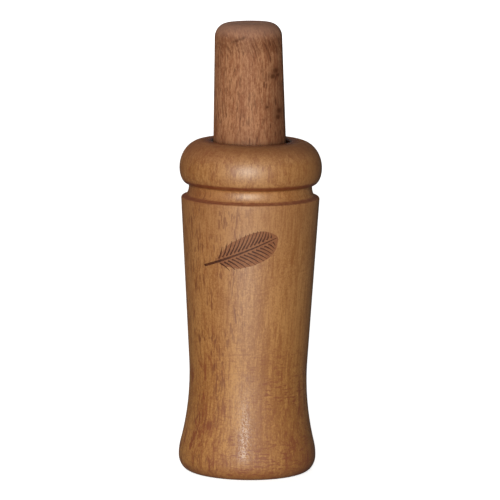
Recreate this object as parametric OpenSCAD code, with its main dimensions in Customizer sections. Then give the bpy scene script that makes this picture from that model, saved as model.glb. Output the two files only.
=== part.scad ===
// Mouth-blown bird call: a turned wooden barrel with a flared bell, and a
// push-fit wooden insert in two halves that hold a reed between them.
// The origin is the centre of the bell's rim and +Z runs up to the mouth end.
// The insert is split along the plane y = 0, with its cover on the -Y side.

/* [Barrel] */
// Height of the barrel, from its rim to the crest of its bead
barrel_l = 75; // [72:0.5:84]
// Widest diameter of the flared base
base_d = 31; // [29:0.5:34]
// Height of the widest place of the base above the rim
foot_h = 3.4; // [2.4:0.1:4.6]
// How far the rounded foot comes in from the side
foot_w = 2.5; // [1.6:0.1:2.7]
// Width of the flat rim that the call stands on
rim_w = 1.3; // [0.8:0.1:2]
// How far the waist comes in from the widest place of the base
waist_in = 2.25; // [1:0.25:3.5]
// Height of the waist above the rim
waist_z = 21.6; // [18:0.2:26]
// Radius of the hollow curve at the waist
waist_curve_r = 58; // [50:1:70]
// Diameter of the tapered body at its upper edge
body_top_d = 31.1; // [29.5:0.1:33]
// Rounding of the body's upper edge
edge_round = 0.5; // [0.3:0.1:0.8]

/* [Groove and bead] */
// Height of the lanyard groove
groove_h = 2.55; // [2:0.05:4]
// Depth of the groove below the body's upper edge
groove_depth = 1.7; // [1:0.1:2.4]
// Height of the bead, from the groove to the crest
bead_h = 10; // [8:0.25:12]
// How far the bead stands out beyond the body's upper edge
bead_step = 0.45; // [0.2:0.05:1.5]
// Height of the crown, from the bead's widest place to the crest
crown_h = 6.1; // [4.5:0.1:7]
// Width of the level crest between the crown and the mouth's lip
crest_w = 1.8; // [1:0.1:3]
// How far the bead's underside comes in from the side
skirt_w = 1.8; // [1:0.1:2.4]

/* [Bore] */
// Diameter of the socket that holds the insert
socket_d = 16.4; // [15.4:0.1:17.4]
// Depth of the socket below the crest
socket_depth = 36; // [32:0.5:42]
// Depth of the wider mouth at the socket's upper end
mouth_depth = 2.5; // [1.5:0.1:4]
// Rounding of the mouth's lip
lip_round = 0.4; // [0.2:0.1:0.6]
// Diameter of the sound bore below the socket
bore_d = 13; // [11:0.25:14]
// Depth of the bell's flare above the rim
bell_depth = 24; // [16:0.5:30]

/* [Insert] */
// Length of the mouthpiece above the crest
mouthpiece_l = 26.5; // [22:0.5:32]
// Diameter of the mouthpiece at its upper end
tip_d = 15.1; // [13.5:0.1:16]
// Rounding of the mouth end
tip_round = 3.2; // [1.5:0.1:4]
// How much wider than the tenon the mouthpiece is at the crest
shoulder_step = 0.1; // [0:0.05:0.4]
// Lean of the mouthpiece away from the barrel's axis, in degrees
lean = 1.5; // [0:0.1:2]
// Sideways shift of the mouthpiece at the crest
lean_shift = 0.35; // [0:0.05:0.5]
// Bevel at the insert's inner end
tenon_bevel = 0.6; // [0.3:0.1:1]

/* [O-rings] */
// Thickness of an O-ring's section
o_ring_t = 1.6; // [1.2:0.1:2]
// Height of the lower O-ring above the insert's inner end
o_ring_low_z = 6; // [4:0.5:9]
// Height of the upper O-ring above the insert's inner end
o_ring_high_z = 30; // [24:0.5:31]
// How much wider than an O-ring its groove is
o_ring_play = 0.3; // [0.2:0.1:0.6]

/* [Reed and air way] */
// Length of the reed
reed_l = 34; // [30:0.5:38]
// Width of the reed
reed_w = 9; // [7:0.25:10]
// Thickness of the reed
reed_t = 0.25; // [0.15:0.05:0.4]
// Rounding of the reed's free corners
reed_corner = 2; // [1:0.25:3]
// Length of the reed's root, under the wedge
clamp_l = 7; // [5:0.5:9]
// Thickness of the wedge at its front
wedge_t = 2; // [1.5:0.1:2.4]
// Thickness of the wall that closes the cover at its inner end
end_wall = 1.8; // [1.2:0.1:3]
// Depth of the air chamber in the cover
chamber_depth = 3; // [2.6:0.1:3.4]
// Width of the slit that lets air in at the mouth end
slit_w = 9; // [6:0.25:10]
// Height of that slit
slit_h = 1.2; // [0.8:0.1:1.6]
// Radius of the half-round tone channel in the board
channel_r = 2.6; // [2:0.1:3]
// Slope of the board's facing under the reed, in degrees
facing_angle = 2.3; // [1.8:0.1:3]

/* [Fits] */
// Radial clearance of the insert's tenon in the socket
tenon_gap = 0.1; // [0.05:0.01:0.2]
// Radial clearance of an O-ring in the socket and on its groove's floor
o_ring_gap = 0.05; // [0.02:0.01:0.1]
// Clearance between the mouthpiece and the mouth where it leans
mouth_gap = 0.2; // [0.1:0.05:0.4]
// Clearance below the insert's inner end and its shoulder
seat_gap = 0.2; // [0.1:0.05:0.4]
// Clearance above and below the reed
reed_gap = 0.05; // [0.03:0.01:0.1]
// Clearance beside the reed
reed_side_gap = 0.3; // [0.2:0.05:0.5]
// Clearance beside the wedge
wedge_gap = 0.1; // [0.05:0.05:0.2]
// Room beyond the reed's tip
tip_room = 2; // [1:0.25:3]

/* [Hidden] */

$fn = 96;
// Overrun of cuts past the faces that they open
over = 1;
// Part of the flare, up from the foot, that bulges before it turns hollow
flare_bulge_share = 0.17;
// Place of the groove's floor, as a part of its height below the bead
groove_floor_share = 0.24;
// Angle over which the groove's lower curve and the edge's rounding run
cove_angle = 60;
// Width of the channel's closed end, as a part of the channel
channel_end_share = 0.3;
// Steps of a small arc and of a long one
fine = 6;
long = 14;

// Radii and heights of the barrel
base_r = base_d / 2;
waist_r = base_r - waist_in;
body_top_r = body_top_d / 2;
bead_r = body_top_r + bead_step;
groove_top_z = barrel_l - bead_h;
groove_floor_z = groove_top_z - groove_h * groove_floor_share;
groove_floor_r = body_top_r - groove_depth;
edge_z = groove_top_z - groove_h;
belly_z = barrel_l - crown_h;
skirt_r = bead_r - skirt_w;
socket_r = socket_d / 2;
ledge_z = barrel_l - socket_depth;
mouth_floor_z = barrel_l - mouth_depth;
bore_r = bore_d / 2;
bell_r = base_r - foot_w - rim_w;

// The flare is two arcs that meet, a bulging one above the foot and a hollow
// one below the waist, each upright where it starts
flare_rise = waist_z - foot_h;
flare_angle = 2 * atan(waist_in / flare_rise);
flare_r = flare_rise / sin(flare_angle);
bulge_r = flare_r * flare_bulge_share;
hollow_r = flare_r - bulge_r;

// Above the waist the same kind of hollow arc turns into the straight taper
taper_angle = atan((body_top_r - waist_r) / (edge_z - edge_round - waist_z));

// Radii and heights of the insert
tenon_r = socket_r - tenon_gap;
insert_z = ledge_z + seat_gap;
shoulder_z = mouth_floor_z + seat_gap;
mouthpiece_r = tenon_r + shoulder_step / 2;
mouth_r = mouthpiece_r + lean_shift + mouth_gap;
crown_w = bead_r - crest_w - lip_round - mouth_r;
tip_r = tip_d / 2;
flank_angle = atan((mouthpiece_r - tip_r) / mouthpiece_l);

// O-rings run in square grooves that keep clear of them all round
o_ring_r = socket_r - o_ring_gap - o_ring_t / 2;
o_ring_floor_r = o_ring_r - o_ring_t / 2 - o_ring_gap;
o_ring_groove_h = o_ring_t + o_ring_play;

// Places along the reed
root_z = insert_z + end_wall + reed_side_gap;
clamp_z = root_z + clamp_l;
reed_tip_z = root_z + reed_l;
chamber_top_z = reed_tip_z + tip_room;
chamber_w = reed_w + 2 * reed_side_gap;
wedge_floor_y = 2 * reed_gap + reed_t + wedge_t;

// Points along part of an ellipse, from one angle to another
function arc(centre, size, from, to, steps) =
    [for (i = [0:steps])
        let (a = from + (to - from) * i / steps)
        [centre[0] + size[0] * cos(a), centre[1] + size[1] * sin(a)]];

function outside() = concat(
    arc([base_r - foot_w, foot_h], [foot_w, foot_h], -90, 0, fine),
    arc([base_r - bulge_r, foot_h], [bulge_r, bulge_r],
        flare_angle / fine, flare_angle, fine - 1),
    arc([waist_r + hollow_r, waist_z], [hollow_r, hollow_r],
        180 + flare_angle * (long - 1) / long, 180, long - 1),
    arc([waist_r + waist_curve_r, waist_z], [waist_curve_r, waist_curve_r],
        180 - taper_angle / fine, 180 - taper_angle, fine - 1),
    arc([body_top_r - edge_round, edge_z - edge_round], [edge_round, edge_round],
        0, cove_angle, fine),
    arc([body_top_r - edge_round, groove_floor_z],
        [body_top_r - edge_round - groove_floor_r, groove_floor_z - edge_z],
        180 + cove_angle, 180, fine),
    arc([skirt_r, groove_floor_z],
        [skirt_r - groove_floor_r, groove_top_z - groove_floor_z],
        180 - 90 / fine, 90, fine - 1),
    arc([skirt_r, belly_z], [skirt_w, belly_z - groove_top_z],
        -90 + 90 / long, 0, long - 1),
    arc([bead_r - crown_w, belly_z], [crown_w, crown_h], 90 / long, 90, long - 1));

function inside() = concat(
    arc([mouth_r + lip_round, barrel_l - lip_round], [lip_round, lip_round],
        90, 180, fine),
    [[mouth_r, mouth_floor_z], [socket_r, mouth_floor_z],
     [socket_r, ledge_z], [bore_r, ledge_z]],
    arc([bell_r, bell_depth], [bell_r - bore_r, bell_depth], 180, 270, long));

module barrel() {
    color("peru")
        rotate_extrude()
            polygon(concat(outside(), inside()));
}

// The mouthpiece's own axis, which leans over from the crest
module leaning() {
    translate([-lean_shift, 0, barrel_l])
        rotate([0, -lean, 0])
            children();
}

// A tapering round stem, rounded at the mouth end and cut level at its shoulder
module mouthpiece() {
    below = mouth_depth + over;
    difference() {
        leaning()
            rotate_extrude()
                polygon(concat(
                    [[0, -below], [mouthpiece_r + below * tan(flank_angle), -below]],
                    arc([tip_r - tip_round, mouthpiece_l - tip_round],
                        [tip_round, tip_round], flank_angle, 90, long),
                    [[0, mouthpiece_l]]));
        translate([-bead_r, -bead_r, shoulder_z - 2 * bead_r])
            cube(2 * bead_r);
    }
}

// The round tenon that goes into the socket, with its two O-ring grooves
module tenon() {
    rotate_extrude()
        polygon([[0, insert_z], [tenon_r - tenon_bevel, insert_z],
                 [tenon_r, insert_z + tenon_bevel],
                 [tenon_r, shoulder_z + seat_gap], [0, shoulder_z + seat_gap]]);
}

module o_ring_groove(z) {
    translate([0, 0, z - o_ring_groove_h / 2])
        rotate_extrude()
            polygon([[o_ring_floor_r, 0], [tenon_r + over, 0],
                     [tenon_r + over, o_ring_groove_h], [o_ring_floor_r, o_ring_groove_h]]);
}

module insert_blank() {
    difference() {
        union() {
            tenon();
            mouthpiece();
        }
        o_ring_groove(insert_z + o_ring_low_z);
        o_ring_groove(insert_z + o_ring_high_z);
    }
}

// Half of the insert, on the side that is given as -1 or 1 along Y
module half_blank(side) {
    intersection() {
        insert_blank();
        translate([-bead_r, side < 0 ? -2 * bead_r : 0, 0])
            cube([2 * bead_r, 2 * bead_r, barrel_l + mouthpiece_l + over]);
    }
}

// A flat slab that is given by its outline in Y and Z and centred on X
module slab(width, outline) {
    translate([-width / 2, 0, 0])
        rotate([90, 0, 90])
            linear_extrude(width)
                polygon(outline);
}

// Seat of the wedge, air chamber over the reed, and the slit from the mouth end
module cover_half() {
    color("rosybrown")
        difference() {
            half_blank(-1);
            slab(chamber_w, [[over, insert_z + end_wall], [over, chamber_top_z],
                             [-chamber_depth, chamber_top_z], [-chamber_depth, clamp_z],
                             [-wedge_floor_y, clamp_z],
                             [-wedge_floor_y, insert_z + end_wall]]);
            leaning()
                translate([-slit_w / 2, -slit_h, chamber_top_z - barrel_l - over])
                    cube([slit_w, slit_h + over, mouthpiece_l]);
        }
}

// Half-round tone channel under the reed, and the facing that slopes away
module tone_board() {
    facing_y = (chamber_top_z - clamp_z) * tan(facing_angle);
    color("tan")
        difference() {
            half_blank(1);
            slab(chamber_w, [[-over, clamp_z], [0, clamp_z], [facing_y, chamber_top_z],
                             [-over, chamber_top_z]]);
            rotate_extrude()
                polygon([[0, insert_z - over], [channel_r, insert_z - over],
                         [channel_r, reed_tip_z - 2 * channel_r],
                         [channel_r * channel_end_share, reed_tip_z - channel_r],
                         [0, reed_tip_z - channel_r]]);
        }
}

// A thin tongue with two rounded corners at its free end
module reed() {
    color("ivory")
        translate([0, -reed_gap, 0])
            rotate([90, 0, 0])
                linear_extrude(reed_t)
                    polygon(concat(
                        [[-reed_w / 2, root_z], [reed_w / 2, root_z]],
                        arc([reed_w / 2 - reed_corner, reed_tip_z - reed_corner],
                            [reed_corner, reed_corner], 0, 90, fine),
                        arc([reed_corner - reed_w / 2, reed_tip_z - reed_corner],
                            [reed_corner, reed_corner], 90, 180, fine)));
}

// Cork that presses on the reed at its front and thins out over the root
module reed_wedge() {
    front_y = 2 * reed_gap + reed_t;
    back_z = insert_z + end_wall + wedge_gap;
    back_y = front_y + (clamp_z - back_z) * tan(facing_angle);
    color("burlywood")
        slab(chamber_w - 2 * wedge_gap,
             [[-front_y, clamp_z], [-wedge_floor_y, clamp_z],
              [-wedge_floor_y, back_z], [-back_y, back_z]]);
}

module o_ring(z) {
    color("dimgray")
        translate([0, 0, z])
            rotate_extrude()
                translate([o_ring_r, 0])
                    circle(d = o_ring_t, $fn = 32);
}

module o_ring_lower() {
    o_ring(insert_z + o_ring_low_z);
}

module o_ring_upper() {
    o_ring(insert_z + o_ring_high_z);
}

barrel();
cover_half();
tone_board();
reed();
reed_wedge();
o_ring_lower();
o_ring_upper();
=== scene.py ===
import math

import bpy
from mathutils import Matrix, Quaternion, Vector


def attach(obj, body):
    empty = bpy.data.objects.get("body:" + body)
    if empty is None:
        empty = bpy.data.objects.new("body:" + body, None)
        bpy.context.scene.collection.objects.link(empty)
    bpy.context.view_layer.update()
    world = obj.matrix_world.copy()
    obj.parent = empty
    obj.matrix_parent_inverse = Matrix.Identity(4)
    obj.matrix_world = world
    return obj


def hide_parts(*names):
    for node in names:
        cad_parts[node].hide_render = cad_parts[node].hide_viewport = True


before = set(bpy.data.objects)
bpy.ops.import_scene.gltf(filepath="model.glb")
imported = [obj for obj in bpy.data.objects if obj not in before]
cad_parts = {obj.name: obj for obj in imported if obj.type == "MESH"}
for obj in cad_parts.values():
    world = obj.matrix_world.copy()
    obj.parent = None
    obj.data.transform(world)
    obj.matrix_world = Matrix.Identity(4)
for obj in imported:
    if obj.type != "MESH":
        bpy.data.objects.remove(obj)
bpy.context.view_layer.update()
mm = 0.001  # sizes are in millimetres until they reach a mesh
tiny = mm / 1000  # points closer than this are one point
print("frame loaded:", ", ".join(sorted(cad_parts)))


# Tools for the mesh work

def editMode():
    bpy.ops.object.mode_set(mode="EDIT")


def objectMode():
    bpy.ops.object.mode_set(mode="OBJECT")


def putDown():
    if bpy.context.object and bpy.context.object.mode != "OBJECT":
        objectMode()
    bpy.ops.object.select_all(action="DESELECT")


def takeUp(piece, edit=False):
    putDown()
    piece.select_set(True)
    bpy.context.view_layer.objects.active = piece
    if edit:
        editMode()
        bpy.ops.mesh.select_all(action="DESELECT")


def nameIt(piece, name):
    piece.name = piece.data.name = name
    return piece


def pick(piece, kind, wanted):  # selects the points, edges or faces that pass a test
    mode = {"vertices": "VERT", "edges": "EDGE", "polygons": "FACE"}[kind]
    bpy.ops.mesh.select_mode(type=mode)
    bpy.ops.mesh.select_all(action="DESELECT")
    objectMode()
    for item in getattr(piece.data, kind):
        if wanted(item):
            item.select = True
    editMode()


def pickAll():
    bpy.ops.mesh.select_all(action="SELECT")


def faceOutwards():
    pickAll()
    bpy.ops.mesh.normals_make_consistent(inside=False)


def shift(x, y, z):  # moves what is selected, by millimetres
    bpy.ops.transform.translate(value=(x * mm, y * mm, z * mm))


def widen(x, y, height=0):  # stretches what is selected sideways, about the Z axis
    bpy.ops.transform.resize(value=(x, y, 1), center_override=(0, 0, height * mm))


def ends(piece, edge):  # the two ends of an edge
    return [piece.data.vertices[i].co for i in edge.vertices]


def arc(centre, size, start, end, steps):
    angles = [math.radians(start + (end - start) * i / steps) for i in range(steps + 1)]
    return [(centre[0] + size[0] * math.cos(a), centre[1] + size[1] * math.sin(a))
            for a in angles]


def rise(start, end, steps):  # points between two others, without the first
    return [(start[0] + (end[0] - start[0]) * i / steps,
             start[1] + (end[1] - start[1]) * i / steps) for i in range(1, steps + 1)]


def turnOnLathe(name, profile, sides, angle=360):
    putDown()
    bpy.ops.mesh.primitive_plane_add(size=mm)
    piece = nameIt(bpy.context.object, name)
    editMode()
    bpy.ops.mesh.select_mode(type="VERT")
    pickAll()
    bpy.ops.mesh.merge(type="CENTER")
    here = Vector((0, 0, 0))
    for i, (radius, height) in enumerate(profile):
        step = Vector((radius * mm, 0, height * mm)) - here
        here += step
        if i:
            bpy.ops.mesh.extrude_region_move(TRANSFORM_OT_translate={"value": step})
        else:
            bpy.ops.transform.translate(value=step)
    pickAll()
    # with no window the spin and rotate tools turn the other way
    bpy.ops.mesh.spin(steps=sides, angle=math.radians(-angle), center=(0, 0, 0),
                      axis=(0, 0, 1), use_auto_merge=angle == 360)
    pickAll()
    bpy.ops.mesh.remove_doubles(threshold=tiny)
    return piece


def roundEdges(rounding, segments):
    bpy.ops.mesh.bevel(offset=rounding * mm, segments=segments, affect="EDGES")


def addBox(name, low, high, rounding=0.0):
    putDown()
    bpy.ops.mesh.primitive_cube_add(
        size=1, location=[(a + b) / 2 * mm for a, b in zip(low, high)],
        scale=[(b - a) * mm for a, b in zip(low, high)])
    piece = nameIt(bpy.context.object, name)
    bpy.ops.object.transform_apply(location=True, rotation=True, scale=True)
    if rounding:
        editMode()
        pickAll()
        roundEdges(rounding, 3)
        objectMode()
    return piece


def cut(piece, tool, materials="INDEX"):
    takeUp(piece)
    step = piece.modifiers.new("cut", "BOOLEAN")
    step.operation, step.solver, step.object = "DIFFERENCE", "EXACT", tool
    step.material_mode = materials
    bpy.ops.object.modifier_apply(modifier="cut")
    bpy.data.objects.remove(tool)


def finishPiece(piece, body, nodes, smooth=30):
    takeUp(piece)
    bpy.ops.object.shade_smooth_by_angle(angle=math.radians(smooth))
    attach(piece, body)
    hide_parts(*nodes)
    print("made", piece.name, "with", len(piece.data.polygons), "faces")


# Tools for the finishes

def paint(red, green, blue):  # a colour as it is seen, 0 to 255, as Blender's linear one
    seen = [v / 255 for v in (red, green, blue)]
    return (*(v / 12.92 if v <= 0.04045 else ((v + 0.055) / 1.055) ** 2.4 for v in seen), 1)


class Wire:  # one output of a node, so that sums on it read as plain sums
    def __init__(self, material, socket=None):
        self.material, self.socket = material, socket

    def node(self, kind, settings=None, inputs=None, output=0):
        made = self.material.node_tree.nodes.new("ShaderNode" + kind)
        for name, value in (settings or {}).items():
            setattr(made, name, value)
        for name, value in (inputs or {}).items():
            if isinstance(value, Wire):
                self.material.node_tree.links.new(value.socket, made.inputs[name])
            else:
                made.inputs[name].default_value = value
        return Wire(self.material, made.outputs[output])

    def maths(self, operation, first, second=0.0):
        return self.node("Math", {"operation": operation}, {0: first, 1: second})

    def __add__(self, other):
        return self.maths("ADD", self, other)

    def __sub__(self, other):
        return self.maths("SUBTRACT", self, other)

    def __rsub__(self, other):
        return self.maths("SUBTRACT", other, self)

    def __mul__(self, other):
        return self.maths("MULTIPLY", self, other)

    def __truediv__(self, other):
        return self.maths("DIVIDE", self, other)

    __radd__ = __add__
    __rmul__ = __mul__

    def between(self, low, high):  # 0 at low and 1 at high, smoothly
        return self.node("MapRange", {"interpolation_type": "SMOOTHSTEP"},
                         {"Value": self, "From Min": low, "From Max": high})

    def band(self, middle, half, soft):  # 1 inside a band and 0 outside
        off = self.maths("ABSOLUTE", self - middle)
        return 1 - off.between(half, half + soft)

    def stretched(self, x, y, z):
        return self.node("VectorMath", {"operation": "MULTIPLY"}, {0: self, 1: (x, y, z)})

    def noise(self, scale, detail=2.0, rough=0.5, swirl=0.0):
        return self.node("TexNoise", {}, {"Vector": self, "Scale": scale, "Detail": detail,
                                          "Roughness": rough, "Distortion": swirl})

    def cells(self, scale, output):
        return self.node("TexVoronoi", {"feature": "F1"},
                         {"Vector": self, "Scale": scale}, output)

    def parts(self):
        return [self.node("SeparateXYZ", {}, {0: self}, i) for i in range(3)]

    def mixed(self, mask, under, over, how="MIX"):
        return self.node("Mix", {"data_type": "RGBA", "blend_type": how},
                         {0: mask, 6: under, 7: over}, 2)


def mixture(shares, **masks):  # a sum of masks, each by its share, and of the share of all
    total = shares.get("all", 0)
    for name, share in shares.items():
        if name != "all":
            total = masks[name] * share + total
    return total


def noises(look, **spaces):  # a look's noises, made into marks where they have a range
    made = {}
    for name, (space, stretch, settings, *span) in look["noises"].items():
        made[name] = spaces[space].stretched(*stretch).noise(*settings)
        if span:
            made[name] = made[name].between(*span[0])
    return made


def newFinish(name):
    material = bpy.data.materials.new(name)
    material.use_nodes = True
    return material, Wire(material)


def dress(material, colour, roughness, height=None, depth=0.02, strength=1.0, coat=0,
          **fixed):
    shader = material.node_tree.nodes["Principled BSDF"]
    link = material.node_tree.links.new
    varying = {"Base Color": colour, "Roughness": roughness, "Coat Weight": coat}
    for name, value in varying.items():
        if isinstance(value, Wire):
            link(value.socket, shader.inputs[name])
        else:
            shader.inputs[name].default_value = value
    for name, value in fixed.items():
        shader.inputs[name.replace("_", " ")].default_value = value
    if height:
        bump = height.node("Bump", {}, {"Height": height, "Strength": strength,
                                        "Distance": depth * mm})
        link(bump.socket, shader.inputs["Normal"])
    return material


# where a point is, in millimetres, in a frame that may be turned and tilted
def millimetres(wire, turn=0.0, tilt=(0.0, 0.0)):
    place = wire.node("TexCoord", output="Object")
    angles = [math.radians(a) for a in (*tilt, turn)]
    return wire.node("Mapping", {}, {"Vector": place, "Rotation": angles,
                                     "Scale": (1 / mm,) * 3})


def rightwards(x, y, right=(0.927, 0.375)):  # how far a point lies to the photo's right
    return x * right[0] + y * right[1]


# Camera, at the photograph's place and height, with a long lens
camera = {"azimuth": 22.0, "away": 950.0, "height": 196.1, "lens": 307.5,
          "aimHeight": 50.1, "aimRight": 0.07, "roll": 0.74, "film": 36, "sees": (0.05, 50)}


def standCamera(c):
    a = math.radians(c["azimuth"])
    away = Vector((math.sin(a), -math.cos(a), 0))
    right = Vector((math.cos(a), math.sin(a), 0))
    place = away * c["away"] + Vector((0, 0, c["height"]))
    aim = right * c["aimRight"] + Vector((0, 0, c["aimHeight"]))
    bpy.ops.object.camera_add(location=place * mm)
    made = bpy.context.object
    made.rotation_mode = "QUATERNION"
    made.rotation_quaternion = ((aim - place).to_track_quat("-Z", "Y")
                                @ Quaternion((0, 0, 1), math.radians(c["roll"])))
    made.data.lens, made.data.sensor_width = c["lens"], c["film"]
    made.data.clip_start, made.data.clip_end = c["sees"]
    bpy.context.scene.camera = made


putDown()
standCamera(camera)

# Soft lamps: azimuth and elevation in degrees, distance, width and height in metres, watts.
# They stand round a point half way up, and two of them light without a sheen.
lamps = {
    "keyLamp": {"azimuth": 16.5, "elevation": 10, "away": 1.1, "size": (0.13, 0.5),
                "power": 9.1, "colour": (1, 0.988, 0.90)},
    "fillLamp": {"azimuth": -85, "elevation": 20, "away": 1.6, "size": (1.2, 1.2),
                 "power": 4.0, "sheen": False},
    "bounceLamp": {"azimuth": 20, "elevation": -28, "away": 0.095, "size": (0.12, 0.05),
                   "power": 0.007},
    "backLamp": {"azimuth": 205, "elevation": 19, "away": 1.8, "size": (2.0, 1.3),
                 "power": 15, "sheen": False},
}
room = {"colour": paint(255, 252, 247), "strength": 0.075, "lampCentre": 0.05,
        "floor": paint(243, 242, 240), "floorClouds": paint(250, 249, 247),
        "floorSize": 12.0, "floorDrop": 0.05, "floorGlow": 0.8}


def hangLamp(name, lamp):
    a, e = math.radians(lamp["azimuth"]), math.radians(lamp["elevation"])
    way = Vector((math.sin(a) * math.cos(e), -math.cos(a) * math.cos(e), math.sin(e)))
    centre = Vector((0, 0, room["lampCentre"]))
    bpy.ops.object.light_add(type="AREA", location=centre + way * lamp["away"])
    made = nameIt(bpy.context.object, name)
    made.rotation_euler = (-way).to_track_quat("-Z", "Y").to_euler()
    made.data.shape, made.data.energy = "ELLIPSE", lamp["power"]
    made.data.size, made.data.size_y = lamp["size"]
    made.data.color = lamp.get("colour", (1, 1, 1))
    made.visible_camera = False
    made.visible_glossy = lamp.get("sheen", True)


for name, lamp in lamps.items():
    hangLamp(name, lamp)

bpy.ops.mesh.primitive_grid_add(x_subdivisions=8, y_subdivisions=8, size=room["floorSize"],
                                location=(0, 0, -room["floorDrop"] * mm))  # clear of the rim
floor = nameIt(bpy.context.object, "floor")
material, wire = newFinish("paleFloor")
clouds = wire.mixed(millimetres(wire).noise(0.004, detail=3), room["floor"],
                    room["floorClouds"])
floor.data.materials.append(dress(material, clouds, 0.85, Emission_Color=(1, 1, 1, 1),
                                  Emission_Strength=room["floorGlow"]))
floor.visible_diffuse = floor.visible_glossy = False  # it throws no light upward

world = bpy.context.scene.world or bpy.data.worlds.new("room")
bpy.context.scene.world = world
world.use_nodes = True
sky = world.node_tree.nodes["Background"]
sky.inputs["Color"].default_value = room["colour"]
sky.inputs["Strength"].default_value = room["strength"]
bpy.context.scene.view_settings.view_transform = "Standard"
print("camera, lamps and floor stand")

# Barrel: turned outside, bored and belled inside, with an engraved feather
barrelShape = {
    "length": 75, "baseWidth": 31, "footHeight": 3.4, "footIn": 2.5, "rimWidth": 1.3,
    "waistIn": 2.25, "waistHeight": 21.6, "waistCurve": 58, "bulgeShare": 0.17,
    "bodyTopWidth": 31.1, "edgeRound": 0.5, "coveAngle": 60,
    "grooveHeight": 2.85, "grooveDepth": 1.7, "grooveFloorShare": 0.24,
    "beadHeight": 9.7, "beadStep": 0.45, "crownHeight": 6.1, "crestWidth": 1.8,
    "skirtIn": 1.8, "socketWidth": 16.4, "socketDepth": 36, "mouthWidth": 17.4,
    "mouthDepth": 2.5, "lip": 0.4, "boreWidth": 13, "bellDepth": 24, "chamfer": 0.1,
    "sides": 256,
    # points from the edge of the body and from the corner under the bead
    "lowerCrease": ((-0.22, 0.06), (-0.34, 0.02), (-0.48, 0.17)),
    "upperCrease": ((0, 0.08), (0.12, 0.01)),
}


def barrelProfile(b):
    base, top = b["baseWidth"] / 2, b["bodyTopWidth"] / 2
    waist, bead = base - b["waistIn"], top + b["beadStep"]
    grooveTop = b["length"] - b["beadHeight"]
    grooveFloor = grooveTop - b["grooveHeight"] * b["grooveFloorShare"]
    floorR, edge = top - b["grooveDepth"], grooveTop - b["grooveHeight"]
    belly, skirt = b["length"] - b["crownHeight"], bead - b["skirtIn"]
    socket, mouth, bore = b["socketWidth"] / 2, b["mouthWidth"] / 2, b["boreWidth"] / 2
    ledge, mouthFloor = b["length"] - b["socketDepth"], b["length"] - b["mouthDepth"]
    crown = bead - b["crestWidth"] - b["lip"] - mouth
    bell = base - b["footIn"] - b["rimWidth"]
    # the flare is a bulging arc and a hollow one that meet, upright at both ends
    climb = b["waistHeight"] - b["footHeight"]
    flare = math.degrees(2 * math.atan(b["waistIn"] / climb))
    reach = climb / math.sin(math.radians(flare))
    bulge, hollow = reach * b["bulgeShare"], reach * (1 - b["bulgeShare"])
    slant = (top - waist) / (edge - b["edgeRound"] - b["waistHeight"])
    taper = math.degrees(math.atan(slant))
    curve, edgeRound, chamfer = b["waistCurve"], b["edgeRound"], b["chamfer"]
    points = arc((base - b["footIn"], b["footHeight"]), (b["footIn"], b["footHeight"]),
                 -90, 0, 14)
    points += arc((base - bulge, b["footHeight"]), (bulge, bulge), 0, flare, 8)[1:]
    points += arc((waist + hollow, b["waistHeight"]), (hollow, hollow),
                  180 + flare, 180, 18)[1:]
    points += arc((waist + curve, b["waistHeight"]), (curve, curve), 180, 180 - taper, 8)[1:]
    points += rise(points[-1], (top, edge - edgeRound), 18)
    points += arc((top - edgeRound, edge - edgeRound), (edgeRound, edgeRound), 0,
                  b["coveAngle"], 6)[1:]
    # a shallow crease where the groove's lower curve starts
    radius, height = points[-1]
    points += [(radius + out, height + up) for out, up in b["lowerCrease"]]
    points += arc((top - edgeRound, grooveFloor),
                  (top - edgeRound - floorR, grooveFloor - edge),
                  180 + b["coveAngle"], 180, 10)
    points += arc((skirt, grooveFloor), (skirt - floorR, grooveTop - grooveFloor),
                  180, 105, 7)[1:]
    # and another in the corner under the bead
    points += [(skirt + out, grooveTop + up) for out, up in b["upperCrease"]]
    points += arc((skirt, belly), (b["skirtIn"], belly - grooveTop), -84, 0, 18)
    points += arc((bead - crown, belly), (crown, b["crownHeight"]), 0, 90, 26)[1:]
    points += arc((mouth + b["lip"], b["length"] - b["lip"]), (b["lip"], b["lip"]),
                  90, 180, 6)
    points += [(mouth, mouthFloor), (socket + chamfer, mouthFloor)]
    points += [(socket, mouthFloor - chamfer)]
    points += rise(points[-1], (socket, ledge), 12)
    points += [(bore + chamfer, ledge), (bore, ledge - chamfer)]
    points += rise(points[-1], (bore, b["bellDepth"]), 6)
    points += arc((bell, b["bellDepth"]), (bell - bore, b["bellDepth"]), 180, 270, 26)[1:]
    points += rise((bell, 0), points[0], 2)
    return points


barrel = turnOnLathe("barrel_turned", barrelProfile(barrelShape), barrelShape["sides"])
faceOutwards()
objectMode()

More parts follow.
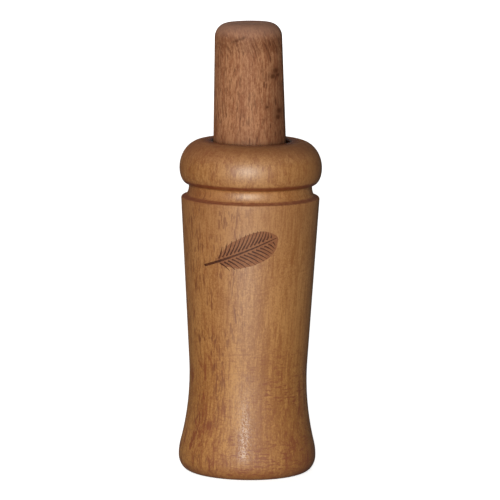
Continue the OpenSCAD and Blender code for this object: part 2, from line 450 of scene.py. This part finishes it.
barrelLook = {
    "pale": paint(205, 146, 87), "honey": paint(166, 104, 46), "ember": paint(144, 70, 20),
    "fleck": paint(122, 57, 12), "shadeBrown": paint(126, 50, 3),
    "endGrain": paint(143, 82, 28), "inside": paint(44, 22, 10),
    "warmth": (1.0, 0.97, 0.70, 1),
    "grainTurn": -15.0, "grainTilt": (1.6, -1.2),
    "ringGap": 2.4, "ringCentre": 40, "ringWave": 7, "ringCurve": 90,
    # space, stretch, scale with detail, roughness and swirl, and a range that makes marks
    "noises": {
        "drift": ("grain", (1, 1, 0.4), (0.10, 3)),
        "streak": ("grain", (1, 1, 0.06), (1.5, 3, 0.65)),
        "fibre": ("grain", (1, 1, 0.05), (5.0, 2, 0.6)),
        "pores": ("place", (1, 1, 0.9), (2.4, 3, 0.75)),
        "cloud": ("grain", (1, 1, 0.5), (0.42, 5, 0.75)),
        "drips": ("place", (1, 1, 0.3), (0.8, 3, 0.7), (0.52, 0.62)),
        "specks": ("place", (1, 1, 0.7), (1.5, 4, 0.75), (0.50, 0.64)),
        "patch": ("grain", (1, 1, 0.5), (0.22,), (0.38, 0.56)),
        "stroke": ("grain", (1, 1, 0.17), (2.2, 1, 0.5, 0.3), (0.55, 0.62)),
        "turning": ("place", (0.20, 0.20, 1), (2.2, 3, 0.7)),
        "turned": ("place", (0.6, 0.6, 1), (0.12,), (0.42, 0.56)),
        "mottle": ("place", (1, 1, 1), (0.9, 3)),
        "glint": ("place", (1, 1, 0.8), (3.0, 3, 0.8), (0.47, 0.57))},
    # heights between which a mark comes in or goes
    "heights": {
        "foot": (0.2, 3.2), "heel": (1, 6), "flare": (5, 24), "low": (14, 40),
        "warm": (16, 52), "rubbed": (18, 52), "waist": (34, 46), "upper": (48, 60),
        "edge": (62, 64), "fewDashes": (63, 66), "bead": (64, 66), "runs": (64, 67),
        "side": (64, 68), "mouth": (70.0, 71.0), "crest": (70.0, 73.0),
        "dullCrest": (70.5, 73.0), "crown": (71.0, 74.6), "lip": (73.0, 74.6)},
    # bands of height and of radius: the middle, half the width, and how softly they end
    "bands": {"glint": (13, 10, 4), "flank": (31, 4, 7), "groove": (63.4, 1.4, 0.8),
              "lowerLine": (62.53, 0.10, 0.48), "upperLine": (65.84, 0.16, 0.68)},
    "creases": {"lowerLine": (14.8, 0.6, 0.4), "upperLine": (14.6, 0.9, 0.5)},
    # how far to the right a mark comes in
    "sides": {"right": (2, 10), "flank": (5, 13), "bead": (7, 15), "heel": (8, 15)},
    # what makes up the tone, the blotches, the stain with painted shade, the roughness and
    # the bumps
    "toneRange": (1.80, 2.55),
    "tone": {"drift": 0.9, "streak": 1.2, "fibre": 0.75, "pores": 1.5, "rings": 0.05,
             "low": 0.02, "flare": 0.10},
    "blotches": {"all": 0.12, "low": 0.2, "left": 0.18, "lowLeft": 0.5, "right": 0.3,
                 "flareRight": 0.25},
    "stainAndShade": {"left": 0.10, "grooveLeft": 0.25, "flank": 0.14},
    "dullness": {"all": 0.47, "fibre": 0.10, "rubbed": 0.10, "flare": 0.08, "upper": 0.13,
                 "crest": 0.25, "lip": -0.5, "upperLine": -0.12, "lowerLine": 0.12},
    "bumps": {"streak": 0.4, "fibre": 0.6, "pores": 0.3, "tooling": 0.9, "dash": -0.3},
    # the layers of colour in their order, with their strengths; the foot, upper, lip,
    # crease-line and inside layers are painted shade
    "layers": (("blot", 1, "ember"), ("runs", 0.5, "ember"), ("side", 0.5, "honey"),
               ("upper", 0.24, "honey"), ("speck", 1, "ember"), ("dash", 1, "fleck"),
               ("tooled", 1, "ember"), ("foot", 0.75, "ember"), ("crown", 1, "endGrain"),
               ("crest", 0.35, "ember"), ("lip", 0.75, "shadeBrown"),
               ("creaseShade", 0.9, "shadeBrown"), ("inside", 0.8, "inside")),
}


def layered(wire, colour, look, masks):  # each layer covers what is under it
    for name, strength, over in look["layers"]:
        colour = wire.mixed(masks[name] * strength, colour, look[over])
    return colour


def barrelWood(look):
    material, wire = newFinish("barrelWood")
    place = millimetres(wire)
    grain = millimetres(wire, look["grainTurn"], look["grainTilt"])
    x, y, z = place.parts()
    across, out, _ = grain.parts()
    radius = wire.maths("SQRT", x * x + y * y)
    noise = noises(look, grain=grain, place=place)
    streak, mottle = noise["streak"], noise["mottle"]
    # where a point lies: above each height, and to the photograph's left or right
    above = {name: z.between(*span) for name, span in look["heights"].items()}
    low, flare, rubbed = 1 - above["low"], 1 - above["flare"], 1 - above["rubbed"]
    # a band under the groove, darkened as painted shade and made duller
    upper = above["upper"] * (1 - above["edge"])
    within = {name: z.band(*span) for name, span in look["bands"].items()}
    toRight = rightwards(x, y)
    side = {name: toRight.between(*span) for name, span in look["sides"].items()}
    aside = (0 - toRight).between(0, 12)
    left = aside * (1 - above["bead"] * 0.8)
    right = low * side["right"]
    # broad drifts, rings that are barely seen, streaks, fine fibre and pores
    rings = look["ringCentre"] - out + noise["drift"] * look["ringWave"]
    rings = rings + across * across / look["ringCurve"]
    rings = wire.maths("SINE", rings * (math.tau / look["ringGap"]))
    tone = mixture(look["tone"], **noise, rings=rings, low=low, flare=flare)
    colour = wire.mixed(tone.between(*look["toneRange"]), look["pale"], look["honey"])
    colour = wire.mixed(1 - above["warm"], colour, look["warmth"], "MULTIPLY")
    # warm blotches, mostly low down on the left, and a stain on the left and on the flank,
    # with painted shade in the groove's left end
    blot = (noise["cloud"] + streak * 0.4 - 0.2).between(0.50, 0.66)
    blot = blot * mixture(look["blotches"], low=low, left=left, lowLeft=low * left,
                          right=right, flareRight=flare * right)
    stainAndShade = mixture(look["stainAndShade"], left=left, grooveLeft=within["groove"] * left,
                    flank=side["flank"] * within["flank"])
    # short dark dashes, thick on the side that was sawn flat
    flat = 0.17 + (1 - (across + low * 4).between(-6, 5)) * 0.83
    dash = noise["stroke"] * noise["patch"] * flat * (1 - above["fewDashes"] * 0.5)
    dash = dash * (0.8 - above["waist"] * 0.2 - low * 0.14)
    # faint marks that the tool left running round, mostly on the other side
    turned = noise["turned"] * (0.4 + low * 0.6)
    tooled = noise["turning"].between(0.52, 0.62) * turned
    tooled = tooled * (1 - left * 0.6) * (0.6 + low * 0.25)
    # painted shade: darker in the creases, where some finish also gathers, along the foot
    # and on its right, and round the mouth
    upperLine = within["upperLine"] * radius.band(*look["creases"]["upperLine"])
    lowerLine = within["lowerLine"] * radius.band(*look["creases"]["lowerLine"])
    creaseShade = ((upperLine + lowerLine * 0.85) * (0.45 + mottle * 0.8)).between(0, 1)
    foot = (1 - above["foot"]) * (0.35 + mottle * 0.6)
    foot = foot + (1 - above["heel"]) * side["heel"] * 0.5
    crown = above["crown"] * (0.45 + streak * 0.5) * (1 - aside * 0.4)
    lip = above["lip"] * (1 - radius.between(9.4, 11.6))
    # the mouth's inside is darkened too, as painted shade
    colour = layered(wire, colour, look, {
        "blot": blot + stainAndShade, "runs": noise["drips"] * above["runs"],
        "side": above["side"] * side["bead"], "upper": upper,
        "speck": noise["specks"] * (0.12 + low * 0.34), "dash": dash, "tooled": tooled,
        "foot": foot, "crown": crown, "crest": above["crest"] * aside, "lip": lip,
        "creaseShade": creaseShade, "inside": above["mouth"] * (1 - radius.between(8.9, 9.3))})
    height = mixture(look["bumps"], **noise, tooling=noise["turning"] * turned, dash=dash)
    # rubbed duller low down, with glints where the finish stands between the pores
    rough = mixture(look["dullness"], **noise, rubbed=rubbed, flare=flare, upper=upper,
                    crest=above["dullCrest"], lip=lip, upperLine=upperLine,
                    lowerLine=lowerLine)
    glint = noise["glint"] * within["glint"]
    return dress(material, colour, rough, height, 0.03, 0.7, coat=0.05 + glint * 0.45,
                 Coat_Roughness=0.28, Specular_IOR_Level=1.0, IOR=1.6)


barrel.data.materials.append(barrelWood(barrelLook))

# A feather, engraved by burning: a scorched vane with a bent shaft and barbs cut deeper
featherShape = {
    "azimuth": 13.2, "height": 51.2, "length": 17.4, "tilt": 20.0, "bow": 0.05,
    "shaftWidth": 0.55, "quill": 3.4, "barbs": 14, "barbLength": 4.3, "barbWidth": 0.36,
    "barbBow": 0.16, "barbAngle": 41.0, "barbCloses": 8.0, "barbGap": 0.54,
    "swellFrom": 0.14, "swellSpan": 0.79, "swellCurve": 0.6, "tipLoss": 0.75,
    "lowerShare": 0.92, "lastBarb": 0.96, "vaneRows": 36, "vaneOpens": 5.0,
    "vaneDepth": 0.05, "depth": 0.17, "toolAway": 30, "toolThick": 1.2,
    "vaneColours": (paint(146, 90, 58), paint(162, 106, 70)),
    "lineColours": (paint(72, 34, 16), paint(102, 54, 28)),
}


def blade(name, length, width, steps, bend):
    # a slim strip from the origin along +X, tapered and bowed towards +Y
    putDown()
    bpy.ops.mesh.primitive_grid_add(x_subdivisions=steps, y_subdivisions=2, size=1)
    piece = nameIt(bpy.context.object, name)
    editMode()
    bpy.ops.transform.translate(value=(0.5, 0, 0))
    widen(length * mm, width * mm)
    near = length * mm / steps / 4
    for i in range(steps + 1):
        share = i / steps
        pick(piece, "vertices", lambda v: abs(v.co.x - share * length * mm) < near)
        widen(1, 1 - 0.7 * share ** 1.6)  # down to three tenths at its tip
        shift(0, bend * length * share ** 2, 0)
    objectMode()
    return piece


def fullness(f, share):  # how long the barbs are, along the vane
    swell = math.sin(math.pi * (f["swellFrom"] + f["swellSpan"] * share)) ** f["swellCurve"]
    return swell * (1 - f["tipLoss"] * share ** 5)


def shaftBow(f, along):  # how far the shaft has bent aside
    return f["bow"] * f["length"] * (along / f["length"]) ** 2


def drawBarbs(f):
    shaft = blade("barbTool", f["length"], f["shaftWidth"], 28, f["bow"])
    barb = blade("barb", f["barbLength"], f["barbWidth"], 8, f["barbBow"])
    vane = f["length"] - f["quill"]
    copies = []
    for side, size in ((1, 1), (-1, f["lowerShare"])):
        for i in range(f["barbs"]):
            share = (i + 0.5) / f["barbs"]
            along = f["quill"] + vane * share * f["lastBarb"]
            takeUp(barb)
            bpy.ops.object.duplicate()
            copy = bpy.context.object
            copy.scale = (size * fullness(f, share), side, 1)
            angle = f["barbAngle"] - f["barbCloses"] * share
            copy.rotation_euler = (0, 0, math.radians(side * angle))
            aside = shaftBow(f, along) + side * f["barbGap"]
            copy.location = (along * mm, aside * mm, 0)
            bpy.ops.object.transform_apply(location=True, rotation=True, scale=True)
            copies.append(copy)
    bpy.data.objects.remove(barb)
    takeUp(shaft)
    for copy in copies:
        copy.select_set(True)
    bpy.ops.object.join()
    editMode()
    pick(shaft, "polygons", lambda face: face.normal.z < 0)  # the mirrored side
    bpy.ops.mesh.flip_normals()
    objectMode()
    return shaft


def drawVane(f):  # each row of points runs out along a barb
    rows, vane = f["vaneRows"], f["length"] - f["quill"]
    putDown()
    bpy.ops.mesh.primitive_grid_add(x_subdivisions=rows, y_subdivisions=2, size=2 * mm)
    piece = nameIt(bpy.context.object, "vaneTool")
    editMode()
    widen(vane / 2, 1)
    shift(vane / 2 + f["quill"], 0, 0)
    near = vane / rows / 4 * mm
    for i in range(rows, -1, -1):
        share = i / rows
        along = f["quill"] + vane * share
        angle = math.radians(f["barbAngle"] + f["vaneOpens"] - f["barbCloses"] * share)
        # the vane starts short at the quill and closes in at its tip
        reach = f["barbLength"] * fullness(f, share) * min(1, 0.35 + share * 6)
        middle = shaftBow(f, along)
        beside = f["barbGap"] * (1 - 0.7 * share ** 6)
        pick(piece, "vertices", lambda v: abs(v.co.x - along * mm) < near)
        widen(1, reach * math.sin(angle) + beside)
        shift(0, middle, 0)
        pick(piece, "vertices", lambda v: abs(v.co.x - along * mm) < near
             and (i == rows or abs(v.co.y - middle * mm) > 0.2 * mm))
        shift(reach * math.cos(angle), 0, 0)
    pickAll()
    bpy.ops.mesh.subdivide(number_cuts=3)
    objectMode()
    return piece


def burntWood(name, dark, light):
    material, wire = newFinish(name)
    place = millimetres(wire)
    patchy = place.noise(1.4, detail=3).between(0.3, 0.7)
    return dress(material, wire.mixed(patchy, light, dark), 0.62, place.noise(6), 0.02, 0.5)


def pressInto(piece, tool, f, depth):
    a = math.radians(f["azimuth"])
    outward = Vector((math.sin(a), -math.cos(a), 0))
    # it stands upright in front of the barrel and is pressed onto it along its own -Z
    takeUp(tool, edit=True)
    pickAll()
    shift(-f["length"] / 2, 0, 0)
    objectMode()
    tool.rotation_euler = (math.radians(90), math.radians(-f["tilt"]), a)
    tool.location = outward * f["toolAway"] * mm + Vector((0, 0, f["height"] * mm))
    press = tool.modifiers.new("press", "SHRINKWRAP")
    press.wrap_method, press.target = "PROJECT", piece
    press.use_project_z = press.use_negative_direction = True
    press.use_positive_direction = False
    bpy.ops.object.modifier_apply(modifier="press")
    bpy.ops.object.transform_apply(location=True, rotation=True, scale=True)
    editMode()
    pickAll()
    shift(*(outward * -depth))
    objectMode()
    thick = tool.modifiers.new("thick", "SOLIDIFY")
    thick.thickness, thick.offset = f["toolThick"] * mm, 1
    bpy.ops.object.modifier_apply(modifier="thick")
    editMode()
    faceOutwards()
    objectMode()


def engraveFeather(piece, f):
    vane, barbs = drawVane(f), drawBarbs(f)
    vane.data.materials.append(burntWood("scorchedVane", *f["vaneColours"]))
    barbs.data.materials.append(burntWood("burntLine", *f["lineColours"]))
    for tool, depth in ((vane, f["vaneDepth"]), (barbs, f["depth"])):
        pressInto(piece, tool, f, depth)
    for tool in (vane, barbs):
        cut(piece, tool, "TRANSFER")


engraveFeather(barrel, featherShape)
finishPiece(barrel, "barrel", ["barrel"])

# Insert: one turned blank in two halves, the mouthpiece leaning over a little
insertShape = {
    "width": 16.2, "foot": 39.2, "bevel": 0.6, "ringHeights": (45.2, 69.2),
    "ringGroove": 1.9, "ringFloor": 13.0, "neck": 72.5, "shoulder": 72.95, "crest": 75,
    "mouthpiece": 26.5, "mouthWidth": 16.3, "tipWidth": 15.1, "tipRound": 3.2,
    "lean": 1.5, "leanShift": 0.35, "seam": 0.12, "sides": 96,
    "seat": 41.0, "clamp": 48.3, "chamberTop": 77.3, "chamberWidth": 9.6,
    "chamberDepth": 3.0, "wedgeFloor": 2.35, "slitWidth": 9.0, "slitHeight": 1.2,
    "channel": 2.6, "channelTop": 72.7, "facing": 2.3, "bitTip": 0.3,
    "toolRound": 0.3, "slitRound": 0.2, "spare": 1,
}


def insertProfile(n):
    wide, floor, half = n["width"] / 2, n["ringFloor"] / 2, n["ringGroove"] / 2
    points = [(wide - n["bevel"], n["foot"]), (wide, n["foot"] + n["bevel"])]
    for height in n["ringHeights"]:
        points += rise(points[-1], (wide, height - half), 5)
        points += [(floor, height - half), (floor, height + half), (wide, height + half)]
    points += [(wide, n["neck"])]
    mouth, tip = n["mouthWidth"] / 2, n["tipWidth"] / 2
    flank = (mouth - tip) / n["mouthpiece"]
    points += [(mouth + flank * (n["crest"] - n["shoulder"]), n["shoulder"])]
    top = n["crest"] + n["mouthpiece"]
    dome = arc((tip - n["tipRound"], top - n["tipRound"]), (n["tipRound"],) * 2,
               math.degrees(math.atan(flank)), 90, 14)
    return points + rise(points[-1], dome[0], 16) + dome[1:]


def leanOver(n):
    # with no window the rotate tool turns the other way, so this leans towards -X
    bpy.ops.transform.rotate(value=math.radians(n["lean"]), orient_axis="Y",
                             center_override=(0, 0, n["crest"] * mm))
    shift(-n["leanShift"], 0, 0)


def turnHalf(name, n, side):
    def onSeam(edge):
        return all(abs(end.y) < tiny for end in ends(piece, edge))

    piece = turnOnLathe(name, insertProfile(n), n["sides"], 180 * side)
    for height in (n["foot"], n["crest"] + n["mouthpiece"]):  # both ends are flat
        pick(piece, "vertices", lambda v: abs(v.co.z - height * mm) < tiny)
        bpy.ops.mesh.edge_face_add()
    pick(piece, "vertices", lambda v: v.co.z > (n["shoulder"] - 0.1) * mm)
    leanOver(n)
    pick(piece, "edges", onSeam)
    bpy.ops.mesh.edge_face_add()
    faceOutwards()
    pick(piece, "edges", onSeam)
    bpy.ops.mesh.bevel(offset=n["seam"] * mm, segments=2, affect="EDGES",
                       clamp_overlap=False)
    objectMode()
    return piece


cover = turnHalf("cover_half_turned", insertShape, -1)
board = turnHalf("tone_board_turned", insertShape, 1)


def hollowCover(piece, n):  # each tool reaches a little past the wood that it cuts
    side = n["chamberWidth"] / 2
    cut(piece, addBox("seatTool", (-side, -n["wedgeFloor"], n["seat"]),
                      (side, n["spare"], n["clamp"] + n["spare"] / 2), n["toolRound"]))
    cut(piece, addBox("chamberTool", (-side, -n["chamberDepth"], n["clamp"]),
                      (side, n["spare"], n["chamberTop"]), n["toolRound"]))
    slit = addBox("slitTool",
                  (-n["slitWidth"] / 2, -n["slitHeight"], n["chamberTop"] - n["spare"]),
                  (n["slitWidth"] / 2, n["spare"],
                   n["crest"] + n["mouthpiece"] + 2 * n["spare"]), n["slitRound"])
    takeUp(slit, edit=True)
    pickAll()
    leanOver(n)
    objectMode()
    cut(piece, slit)


def hollowBoard(piece, n):
    side, early = n["chamberWidth"] / 2, 2 * n["spare"]
    slope = math.tan(math.radians(n["facing"]))
    facing = addBox("facingTool", (-side, -n["spare"], n["clamp"] - early),
                    (side, 0, n["chamberTop"]))
    takeUp(facing, edit=True)
    for top, length in ((True, n["chamberTop"] - n["clamp"]), (False, -early)):
        pick(facing, "vertices",
             lambda v: v.co.y > -mm / 2 and (v.co.z > n["clamp"] * mm) == top)
        shift(0, length * slope, 0)
    objectMode()
    cut(piece, facing)
    # a ball-nosed bit leaves the half-round channel under the reed
    low, high = n["foot"] - n["spare"], n["channelTop"] - n["channel"]
    putDown()
    bpy.ops.mesh.primitive_cylinder_add(vertices=64, radius=n["channel"] * mm,
                                        depth=(high - low) * mm,
                                        location=(0, 0, (low + high) / 2 * mm))
    bit = nameIt(bpy.context.object, "channelTool")
    bpy.ops.object.transform_apply(location=True)
    editMode()
    pick(bit, "polygons", lambda face: face.normal.z > 0.9)
    bpy.ops.mesh.extrude_region_move(
        TRANSFORM_OT_translate={"value": (0, 0, n["channel"] * mm)})
    widen(n["bitTip"], n["bitTip"], n["channelTop"])
    objectMode()
    cut(piece, bit)


hollowCover(cover, insertShape)
hollowBoard(board, insertShape)

insertLook = {
    "pale": paint(195, 139, 101), "rose": paint(152, 94, 63), "fleck": paint(88, 46, 26),
    "shade": paint(108, 62, 38), "endGrain": paint(172, 131, 114),
    "jointShade": paint(52, 26, 16), "spot": paint(79, 35, 5),
    "grainTurn": -18.0, "grainTilt": (-0.8, -1.5),
    "noises": {
        "drift": ("grain", (1, 1, 0.3), (0.20, 3)),
        "streak": ("grain", (1, 1, 0.10), (1.6, 3, 0.65)),
        "fibre": ("grain", (1, 1, 0.06), (6.0, 2, 0.6)),
        "pores": ("place", (1, 1, 0.65), (2.0, 3, 0.75)),
        "patch": ("grain", (1, 1, 0.4), (0.45,), (0.35, 0.62)),
        "thin": ("grain", (1.7, 0.5, 0.22), (1.9,), (0.55, 0.62))},
    "heights": {
        "collarShade": (70, 73), "stem": (75, 80), "light": (82, 94), "slant": (93.5, 102),
        "ends": (97.2, 101.2)},
    "jointShadeFrom": (70.5, 73.0), "jointShadeTo": (75.2, 77.2), "darkSide": (5.2, 7.6),
    "belt": (97.0, 1.0, 1.4), "scratch": (99.9, 0.08, 0.45), "scratchSide": (-3.1, 1.2, 0.9),
    "toneRange": (1.58, 2.24),
    "tone": {"drift": 0.6, "streak": 1.2, "fibre": 0.8, "pores": 1.2},
    "bumps": {"streak": 0.4, "fibre": 0.5, "ray": -0.5},
    # the collar, the joint band and the back half's dimming are painted shade
    "layers": (("dark", 1, "shade"), ("ray", 0.7, "fleck"), ("thin", 0.5, "shade"),
               ("ends", 0.7, "endGrain"), ("belt", 1, "shade"), ("scratch", 0.5, "fleck"),
               ("collarShade", 0.3, "shade"), ("jointShade", 0.55, "jointShade"), ("backShade", 1, "shade")),
    # dark blots beside the seam: place, width; each with a core and a halo of this strength
    "spots": ((6.7, -2.2, 91.3, 1.15), (6.87, -1.7, 90.2, 0.95), (6.34, -3.3, 90.0, 1.0),
              (7.31, -1.6, 82.3, 1.15), (7.2, -2.1, 80.9, 1.0), (5.8, -4.9, 83.3, 0.75)),
    "spotFlat": 1.5, "spotHalo": 0.25, "spotCore": 0.72,
}


def insertWood(look, name, backShade=0.0):
    material, wire = newFinish(name)
    place = millimetres(wire)
    x, y, z = place.parts()
    above = {mark: z.between(*span) for mark, span in look["heights"].items()}
    grain = millimetres(wire, look["grainTurn"], look["grainTilt"])
    # the fibres lean over under the dome
    slant = wire.node("CombineXYZ", {}, {0: above["slant"] * 2.2})
    grain = wire.node("VectorMath", {"operation": "ADD"}, {0: grain, 1: slant})
    noise = noises(look, grain=grain, place=place)
    streak, pores = noise["streak"], noise["pores"]
    tone = mixture(look["tone"], **noise)
    colour = wire.mixed(tone.between(*look["toneRange"]), look["pale"], look["rose"])
    # darker towards +X
    dark = (x * 0.985 + y * 0.174 + noise["drift"] * 2.4).between(*look["darkSide"])
    dark = dark * (0.44 - above["light"] * 0.38)
    # lens-shaped rays, as beech shows them on its flat-sawn face, thicker in places
    lens = grain.stretched(1.25, 0.4, 0.27).cells(1.25, "Distance")
    ray = 1 - (lens + noise["patch"] * 0.18).between(0.20, 0.34)
    # a darker belt and a slanting scratch where the side starts to round over
    toRight = rightwards(x, y)
    belt = z.band(*look["belt"]) * (pores * 0.9 - 0.15)
    scratch = (z - toRight * 0.4 + pores * 0.9).band(*look["scratch"])
    scratch = scratch * toRight.band(*look["scratchSide"])
    # painted shade where the mouthpiece meets the barrel: a broad band, and a ragged darker
    # one
    collarShade = above["collarShade"] * (1 - above["stem"])
    ragged = z + pores * 2.4
    jointShade = ragged.between(*look["jointShadeFrom"]) * (1 - ragged.between(*look["jointShadeTo"]))
    colour = layered(wire, colour, look, {
        "dark": dark, "ray": ray, "thin": noise["thin"], "ends": above["ends"],
        "belt": belt, "scratch": scratch, "collarShade": collarShade, "jointShade": jointShade, "backShade": backShade})
    for spotX, spotY, spotZ, wide in look["spots"]:
        spot = (spotX, spotY, spotZ * look["spotFlat"])
        off = wire.node("VectorMath", {"operation": "DISTANCE"},
                        {0: place.stretched(1, 1, look["spotFlat"]), 1: spot}, "Value")
        off = off + streak * 0.6 + pores * 2.0 - 0.7
        halo, core = off.between(wide * 1.2, wide * 3), off.between(wide * 0.9, wide * 1.6)
        colour = wire.mixed((1 - halo) * look["spotHalo"], colour, look["fleck"])
        colour = wire.mixed((1 - core) * look["spotCore"], colour, look["spot"])
    height = mixture(look["bumps"], **noise, ray=ray)
    return dress(material, colour, 0.58 + noise["fibre"] * 0.12, height, 0.03, 0.7,
                 Specular_IOR_Level=0.3)


cover.data.materials.append(insertWood(insertLook, "insertWood"))
# the back half is a darker copy of the same wood: painted shade
board.data.materials.append(insertWood(insertLook, "insertWoodShaded", backShade=0.12))
finishPiece(cover, "insert", ["cover_half"])
finishPiece(board, "insert", ["tone_board"])

# Reed: a thin tongue of clear film with two rounded corners
reedShape = {"width": 9.0, "thick": 0.25, "root": 41.3, "tip": 75.3, "corner": 2.0,
             "gap": 0.05, "edge": 0.05}


def cutReed(r):
    side = r["width"] / 2
    piece = addBox("reed_film", (-side, -r["gap"] - r["thick"], r["root"]),
                   (side, -r["gap"], r["tip"]))

    def atCorner(edge):  # the two short edges at the tip that run through the film
        first, second = ends(piece, edge)
        atTip = min(first.z, second.z) > (r["tip"] - 1) * mm
        return atTip and abs(first.x - second.x) < mm / 10

    takeUp(piece, edit=True)
    pick(piece, "edges", atCorner)
    roundEdges(r["corner"], 10)
    objectMode()
    soften = piece.modifiers.new("soften", "BEVEL")
    soften.width, soften.segments, soften.limit_method = r["edge"] * mm, 2, "ANGLE"
    bpy.ops.object.modifier_apply(modifier="soften")
    return piece


def filmFinish():
    material, wire = newFinish("reedFilm")
    place = millimetres(wire)
    haze = place.noise(0.7, detail=3)
    colour = wire.mixed(haze, paint(232, 232, 226), paint(206, 208, 204))
    return dress(material, colour, 0.28 + haze * 0.15, place.stretched(1, 1, 0.1).noise(5),
                 0.005, 0.5, Transmission_Weight=0.35)


reed = cutReed(reedShape)
reed.data.materials.append(filmFinish())
finishPiece(reed, "reed", ["reed"])

# Wedge: a slip of cork that thins out towards the reed's root
wedgeShape = {"width": 9.4, "front": 48.3, "back": 41.1, "floor": 2.35, "frontGap": 0.35,
              "slope": 2.3, "edge": 0.12}


def cutWedge(w):
    side = w["width"] / 2
    drop = (w["front"] - w["back"]) * math.tan(math.radians(w["slope"]))
    piece = addBox("cork_wedge", (-side, -w["floor"], w["back"]),
                   (side, -w["frontGap"], w["front"]))
    takeUp(piece, edit=True)
    pick(piece, "vertices", lambda v: v.co.y > -mm and v.co.z < (w["back"] + 1) * mm)
    shift(0, -drop, 0)
    pickAll()
    roundEdges(w["edge"], 2)
    objectMode()
    return piece


def corkFinish():
    material, wire = newFinish("corkGrain")
    place = millimetres(wire)
    tint = place.cells(1.5, "Color").parts()[0]
    pit = place.noise(2.2, detail=3).between(0.58, 0.70)
    colour = wire.mixed(tint, paint(196, 150, 104), paint(166, 118, 76))
    colour = wire.mixed(pit * 0.8, colour, paint(92, 58, 34))
    return dress(material, colour, 0.85, tint * 0.3 - pit, 0.08, 0.8)


wedge = cutWedge(wedgeShape)
wedge.data.materials.append(corkFinish())
finishPiece(wedge, "insert", ["reed_wedge"])

# O-rings: moulded rubber with a fine parting line inside and outside
ringShape = {"middle": 7.35, "thick": 1.6, "heights": insertShape["ringHeights"],
             "flash": 0.02}


def mouldRing(name, r, height):
    putDown()
    bpy.ops.mesh.primitive_torus_add(major_segments=144, minor_segments=32,
                                     major_radius=r["middle"] * mm,
                                     minor_radius=r["thick"] / 2 * mm,
                                     location=(0, 0, height * mm))
    piece = nameIt(bpy.context.object, name)
    bpy.ops.object.transform_apply(location=True)
    editMode()
    for outer in (1, -1):
        edge = r["middle"] + outer * r["thick"] / 2
        pick(piece, "vertices", lambda v: abs(v.co.xy.length - edge * mm) < tiny)
        grow = 1 + outer * r["flash"] / edge
        widen(grow, grow, height)
    objectMode()
    return piece


def rubberFinish():
    material, wire = newFinish("sealRubber")
    place = millimetres(wire)
    dust = place.noise(1.6, detail=4, rough=0.6).between(0.5, 0.8)
    colour = wire.mixed(dust * 0.5, paint(30, 30, 31), paint(66, 64, 62))
    return dress(material, colour, 0.42 + dust * 0.25, place.noise(5, detail=3), 0.01, 0.6)


rubber = rubberFinish()
for level, height in zip(("lower", "upper"), ringShape["heights"]):
    ring = mouldRing("seal_ring_" + level, ringShape, height)
    ring.data.materials.append(rubber)
    finishPiece(ring, "o_rings", ["o_ring_" + level], smooth=40)
